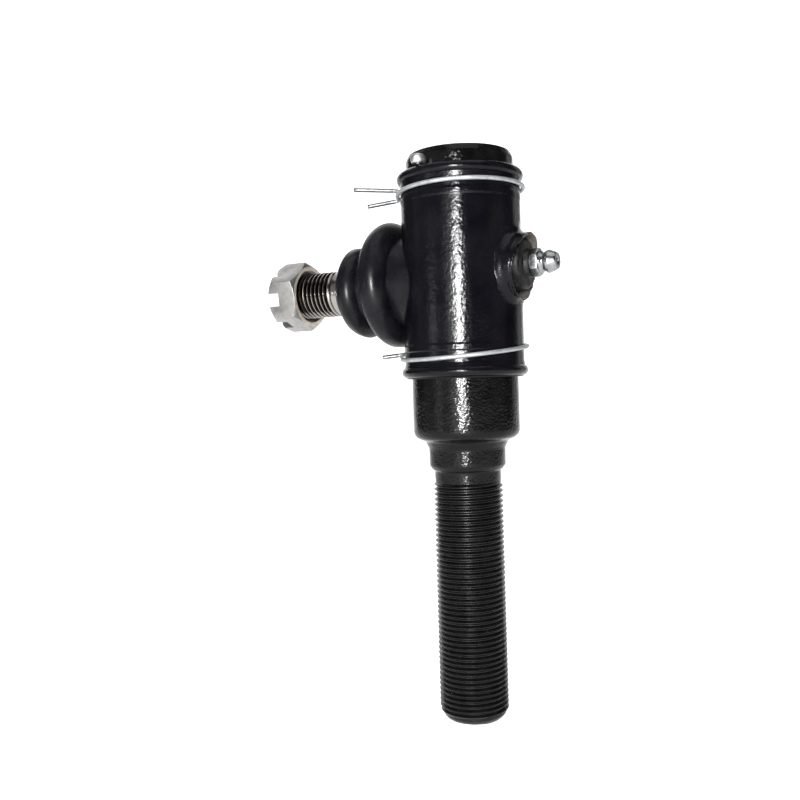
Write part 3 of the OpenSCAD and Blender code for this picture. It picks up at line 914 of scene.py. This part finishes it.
def fitting_body():
    """Straight hydraulic fitting: hexagon, shoulder, neck and head with its ball hole."""
    base, top, tip = 21.75, 24.3, FITTING_TIP
    hexa = hexagon("fitting_body", FITTING_AF, base, top, ALONG_PORT)
    dome = lathe(
        "dome",
        [(0, base), (3.4, base), (4.1, base + 0.4), (4.1, top - 0.45), (3.3, top), (0, top)],
        ALONG_PORT, 72,
    )
    combine(hexa, dome, "INTERSECT")
    body = rounded(
        [
            (0.8, 13.2, 0), (2.6, 13.2, 0.2), (3.0, 13.7, 0.1), (3.0, base + 0.3, 0), (3.1, base + 0.5, 0),
            (3.2, top + 0.1, 0.2), (2.65, top + 0.85, 0.3), (2.65, top + 1.1, 0.3),
            (3.24, top + 1.95, 0.1), (3.24, top + 2.55, 0.12), (2.5, tip - 0.45, 0.12), (2.2, tip, 0.1),
            (1.25, tip, 0.05), (0.95, tip - 0.35, 0.1), (0.95, 27.15, 0),
            (1.45, 27.1, 0), (1.45, 18.8, 0), (0.8, 18.8, 0),
        ],
        5,
    )
    combine(hexa, rod("core", 1.5, base - 1, top + 1, ALONG_PORT, 48))
    bevel(hexa, 0.12, 2)
    spine = lathe("spine", body, ALONG_PORT, 72)
    combine(hexa, spine, "UNION", 45)
    paint(hexa, ZINC)
    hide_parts("grease_fitting")
    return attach(hexa, "housing")


# ---------------------------------------------------------------- cotter pin and springs


def cotter_pin():
    """Split pin of flattened wire: an eye outside the tube, and two legs, one of them bent."""
    half_w, thick, eye_r, leg = 1.25, 1.1, 1.45, 0.62
    head = TUBE_R + 0.35
    path = [(-leg, -TUBE_R - 3.6), (-leg, head)]
    path += [
        (eye_r * math.sin(math.radians(a)), head + eye_r + 0.15 - eye_r * math.cos(math.radians(a)))
        for a in range(-25, -336, -12)
    ]
    path += [(leg, head), (leg, -TUBE_R - 1.2), (0.9, -TUBE_R - 2.2), (1.7, -TUBE_R - 3.2)]
    path = np.array(path)
    ahead = heading(path)
    across = np.stack([-ahead[:, 1], ahead[:, 0]], axis=-1)
    angles = np.linspace(0, 2 * math.pi, 20, endpoint=False)
    section = [(half_w * math.cos(a), thick / 2 * math.sin(a)) for a in angles]
    verts = []
    for here, side in zip(path, across):
        for w, t in section:
            # Local X is up the tube, Y lies across the pin and Z along it
            verts.append((w, here[0] + side[0] * t, here[1] + side[1] * t))
    piece = make("cotter_pin", verts, capped_faces(len(path), len(section)), PIN_TURN, 50)
    paint(piece, DULL)
    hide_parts("plug_cotter_pin")
    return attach(piece, "housing")


def coil_spring(name, node, turn, low, high, mean, wire, turns):
    """Coil spring in the housing, made along Z from low to high."""
    steps = 50 * turns
    path = []
    for k in range(steps + 1):
        angle = 2 * math.pi * turns * k / steps
        level = low + wire + (high - low - 2 * wire) * k / steps
        path.append((mean * math.cos(angle), mean * math.sin(angle), level))
    piece = sweep(name, path, wire, 12, turn=turn)
    paint(piece, SPRING_STEEL)
    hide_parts(node)
    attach(piece, "housing")
    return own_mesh(piece)


# ---------------------------------------------------------------- build


socket_forging()
shank_thread()
sleeve()
boot_fold()
boot_tip()
wire_ring(
    "upper_ring_wire", "upper_wire_ring",
    height=27.8, drop=2.3, lean=0.4, lean_way=-76, tails=((13, 3), (9.8, -9)),
)
wire_ring(
    "lower_ring_wire", "lower_wire_ring",
    height=-19.1, drop=1.4, lean=1.7, lean_way=73, tails=((6, -6), (1.2, 0)),
)
stud_body()
stud_thread()
slotted_nut()
fitting_body()
cotter_pin()
coil_spring(
    "seat_spring", "preload_spring", Matrix.Identity(4),
    low=-33.0, high=-20.0, mean=8.6, wire=1.25, turns=3,
)
coil_spring(
    "valve_spring", "check_spring", ALONG_PORT,
    low=18.81, high=25.1, mean=0.9, wire=0.15, turns=6,
)

# Nodes that are shown as the CAD model has them, and what each is made of.
KEPT = {
    "end_plug": PLUG_STEEL, "spring_bumper": PLUG_STEEL, "boot_support_ring": PLUG_STEEL,
    "inner_ball_seat": SEAT_STEEL, "outer_ball_seat": SEAT_STEEL, "check_ball": POLISHED,
}
for node, finish in KEPT.items():
    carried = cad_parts[node]
    for slot in carried.material_slots:
        slot.material = finish


# ---------------------------------------------------------------- studio


# Which way the camera looks, where it stands and how it is tilted; its focal length is in mm.
AZIMUTH = math.radians(29.27)
DISTANCE, ASIDE, EYE_HEIGHT = 0.2604, 0.01917, -0.0271
PITCH_DOWN, ROLL = math.radians(1.36), math.radians(1.76)
FOCAL = 40.26
FLOOR_Z = SHANK_END * MM


def studio_floor():
    """Pale floor that sweeps up into a pale wall behind the part."""
    front, depth, height, bend, width = -1.6, 1.4, 2.2, 0.6, 1.8
    line = [(front, 0.0), *arc(depth - bend, bend, bend, -90, 0, 15), (depth, height)]
    verts = [(x, y, z) for y, z in line for x in (-width / 2, width / 2)]
    faces = [(2 * i, 2 * i + 1, 2 * i + 3, 2 * i + 2) for i in range(len(line) - 1)]
    mesh = bpy.data.meshes.new("floor")
    mesh.from_pydata(verts, [], faces)
    mesh.shade_smooth()
    floor = add_object("floor", mesh)
    floor.rotation_euler = (0, 0, AZIMUTH)
    floor.location = (0, 0, FLOOR_Z)
    s = Shader("floor_paint", (0.92, 0.92, 0.92), 0.7)
    s.main.inputs["Emission Color"].default_value = (1, 1, 1, 1)
    s.main.inputs["Emission Strength"].default_value = 0.7
    mesh.materials.append(s.material)


def softbox(name, azimuth, elevation, distance, size, brightness):
    """A rectangular light that faces the part from the given direction, in degrees."""
    light = bpy.data.lights.new(name, "AREA")
    light.shape = "RECTANGLE"
    light.size, light.size_y = size
    light.energy = brightness * math.pi * size[0] * size[1]
    lamp = add_object(name, light)
    a, e = math.radians(azimuth), math.radians(elevation)
    way = Vector((math.sin(a) * math.cos(e), -math.cos(a) * math.cos(e), math.sin(e)))
    target = Vector((0, 0, -0.03))
    lamp.location = target + way * distance
    lamp.rotation_euler = way.to_track_quat("Z", "Y").to_euler()


def camera():
    """Camera nearly level with the part, a little aside of its axis."""
    right = Vector((math.cos(AZIMUTH), math.sin(AZIMUTH), 0))
    ahead = Vector((-math.sin(AZIMUTH), math.cos(AZIMUTH), 0))
    lens = bpy.data.cameras.new("camera")
    lens.lens = FOCAL
    lens.sensor_width = 36
    lens.clip_start, lens.clip_end = 0.01, 20
    eye = add_object("camera", lens)
    view = (ahead * math.cos(PITCH_DOWN) - Vector((0, 0, math.sin(PITCH_DOWN)))).normalized()
    turn = (-view).to_track_quat("Z", "Y").to_matrix().to_4x4() @ Matrix.Rotation(-ROLL, 4, "Z")
    place = -right * ASIDE - ahead * DISTANCE + Vector((0, 0, EYE_HEIGHT))
    eye.matrix_world = Matrix.Translation(place) @ turn
    bpy.context.scene.camera = eye


studio_floor()
softbox("key", 17, 4, 0.9, (0.09, 0.22), 330)
softbox("broad", -35, 10, 0.9, (1.5, 1.0), 0.28)
softbox("left", -34, 3, 0.9, (0.2, 0.07), 7)
softbox("fill", 2, 4, 0.9, (0.22, 0.26), 4)
softbox("high", -110, 52, 1.0, (0.9, 0.7), 0.8)
softbox("top", 40, 75, 1.1, (1.0, 1.0), 1.4)
softbox("side", 98, 12, 1.0, (0.5, 1.1), 0.2)
softbox("rim", 156, 5, 1.2, (0.4, 1.2), 0.8)
camera()

world = bpy.data.worlds.new("studio")
world.use_nodes = True
background = world.node_tree.nodes["Background"]
background.inputs["Color"].default_value = (1, 1, 1, 1)
background.inputs["Strength"].default_value = 0.06
bpy.context.scene.world = world
bpy.context.scene.view_settings.view_transform = "Standard"
